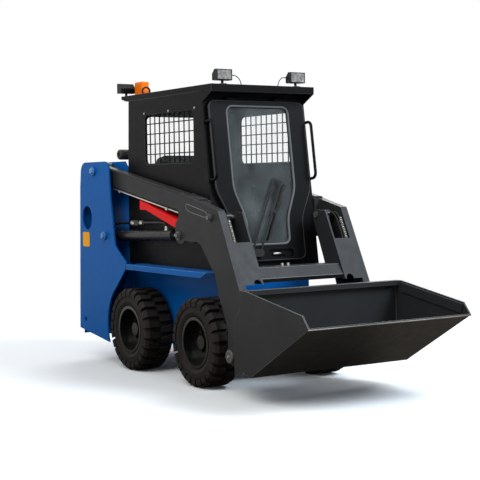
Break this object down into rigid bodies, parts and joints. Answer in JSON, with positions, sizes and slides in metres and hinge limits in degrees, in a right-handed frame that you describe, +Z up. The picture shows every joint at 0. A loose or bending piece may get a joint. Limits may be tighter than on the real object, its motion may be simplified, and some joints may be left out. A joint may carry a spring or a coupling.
{
  "type": "skid steer loader",
  "caption": "Compact skid steer loader with closed cab, side lift towers, radial lift arms on cylinders, hinged door, tailgate and a tilting bucket.",
  "frame": {"origin": "on the ground, below the middle of the machine's bounding box", "axes": "+X forward to the bucket, +Y to the machine's left, +Z up"},
  "size_m": [3.066, 1.2, 2.056],
  "materials": {
    "blue_paint": "gloss",
    "arm_paint": "satin",
    "bucket_paint": "satin",
    "cab_paint": "satin",
    "red_paint": "gloss",
    "black_steel": "satin",
    "pin_steel": "satin",
    "rod_chrome": "polished",
    "engine_iron": "matte",
    "pane": "clear",
    "lamp_pane": "clear",
    "black_plastic": "matte",
    "amber": "gloss",
    "seat_cover": "matte",
    "tyre": "matte",
    "wheel_paint": "satin"
  },
  "bodies": {
    "chassis": {"chassis_tub": "blue_paint", "fenders": "blue_paint", "lift_towers": "blue_paint", "tower_pins": "pin_steel", "engine_block": "engine_iron", "engine_hood": "blue_paint", "exhaust_pipe": "black_steel", "axle_housings": "black_steel", "tailgate_hinges": "blue_paint", "cab_floor": "cab_paint", "cab_sides": "cab_paint", "cab_rear": "cab_paint", "cab_front": "cab_paint", "cab_roof": "cab_paint", "window_guards": "cab_paint", "cab_glass": "pane", "seat": "seat_cover", "control_levers": "black_plastic", "grab_handles": "cab_paint", "work_lamps": "black_plastic", "lamp_lenses": "lamp_pane", "beacon": "amber"},
    "tailgate": {"tailgate": "blue_paint"},
    "door": {"cab_door": "cab_paint", "door_glass": "pane", "door_wiper": "black_plastic"},
    "lift_arm": {"arm_tubes": "arm_paint", "arm_legs": "arm_paint", "arm_crossbar": "arm_paint", "arm_pins": "pin_steel", "safety_strut": "red_paint", "arm_pipes": "black_steel"},
    "lift_barrel": {"lift_barrels": "black_steel"},
    "lift_rod": {"lift_rods": "rod_chrome"},
    "tilt_barrel": {"tilt_barrels": "black_steel"},
    "tilt_rod": {"tilt_rods": "rod_chrome"},
    "bucket": {"bucket": "bucket_paint", "hitch": "bucket_paint", "hitch_pins": "pin_steel"},
    "wheel_rear_left": {"tyre_rear_left": "tyre", "wheel_rear_left": "wheel_paint"},
    "wheel_rear_right": {"tyre_rear_right": "tyre", "wheel_rear_right": "wheel_paint"},
    "wheel_front_left": {"tyre_front_left": "tyre", "wheel_front_left": "wheel_paint"},
    "wheel_front_right": {"tyre_front_right": "tyre", "wheel_front_right": "wheel_paint"}
  },
  "joints": [
    {"name": "lift", "type": "hinge", "parent": "chassis", "child": "lift_arm", "pos_m": [-1.2415, 0, 1.413], "axis": [0, -1, 0], "range_deg": [0, 58]},
    {"name": "lift_barrel_swing", "type": "hinge", "parent": "chassis", "child": "lift_barrel", "pos_m": [-1.0705, 0, 0.941], "axis": [0, -1, 0], "range_deg": [0, 54.57]},
    {"name": "lift_rod_slide", "type": "slide", "parent": "lift_barrel", "child": "lift_rod", "axis": [0.9996, 0, 0.0282], "range_m": [0, 0.48101]},
    {"name": "bucket_tilt", "type": "hinge", "parent": "lift_arm", "child": "bucket", "pos_m": [0.6055, 0, 0.245], "axis": [0, 1, 0], "range_deg": [0, 122]},
    {"name": "tilt_barrel_swing", "type": "hinge", "parent": "lift_arm", "child": "tilt_barrel", "pos_m": [0.3565, 0, 1.093], "axis": [0, -1, 0], "range_deg": [0, 2.54]},
    {"name": "tilt_rod_slide", "type": "slide", "parent": "tilt_barrel", "child": "tilt_rod", "axis": [0.3416, 0, -0.9398], "range_m": [0, 0.28259]},
    {"name": "door", "type": "hinge", "parent": "chassis", "child": "door", "pos_m": [0.11814, 0, 1.86576], "axis": [0, -1, 0], "range_deg": [0, 60]},
    {"name": "tailgate", "type": "hinge", "parent": "chassis", "child": "tailgate", "pos_m": [-1.5205, 0.398, 0.222], "axis": [0, 0, -1], "range_deg": [0, 100]},
    {"name": "spin_rear_left", "type": "hinge", "parent": "chassis", "child": "wheel_rear_left", "pos_m": [-0.7145, 0.4455, 0.289], "axis": [0, 1, 0], "continuous": true},
    {"name": "spin_rear_right", "type": "hinge", "parent": "chassis", "child": "wheel_rear_right", "pos_m": [-0.7145, -0.4455, 0.289], "axis": [0, 1, 0], "continuous": true},
    {"name": "spin_front_left", "type": "hinge", "parent": "chassis", "child": "wheel_front_left", "pos_m": [0.1965, 0.4455, 0.289], "axis": [0, 1, 0], "continuous": true},
    {"name": "spin_front_right", "type": "hinge", "parent": "chassis", "child": "wheel_front_right", "pos_m": [0.1965, -0.4455, 0.289], "axis": [0, 1, 0], "continuous": true}
  ],
  "couplings": [
    {"joint": "lift_barrel_swing", "follows": "lift", "ratio": 0.94081},
    {"joint": "lift_rod_slide", "follows": "lift", "m_per_rad": 0.47517},
    {"joint": "tilt_barrel_swing", "follows": "bucket_tilt", "ratio": 0.020771},
    {"joint": "tilt_rod_slide", "follows": "bucket_tilt", "m_per_rad": 0.13271}
  ]
}
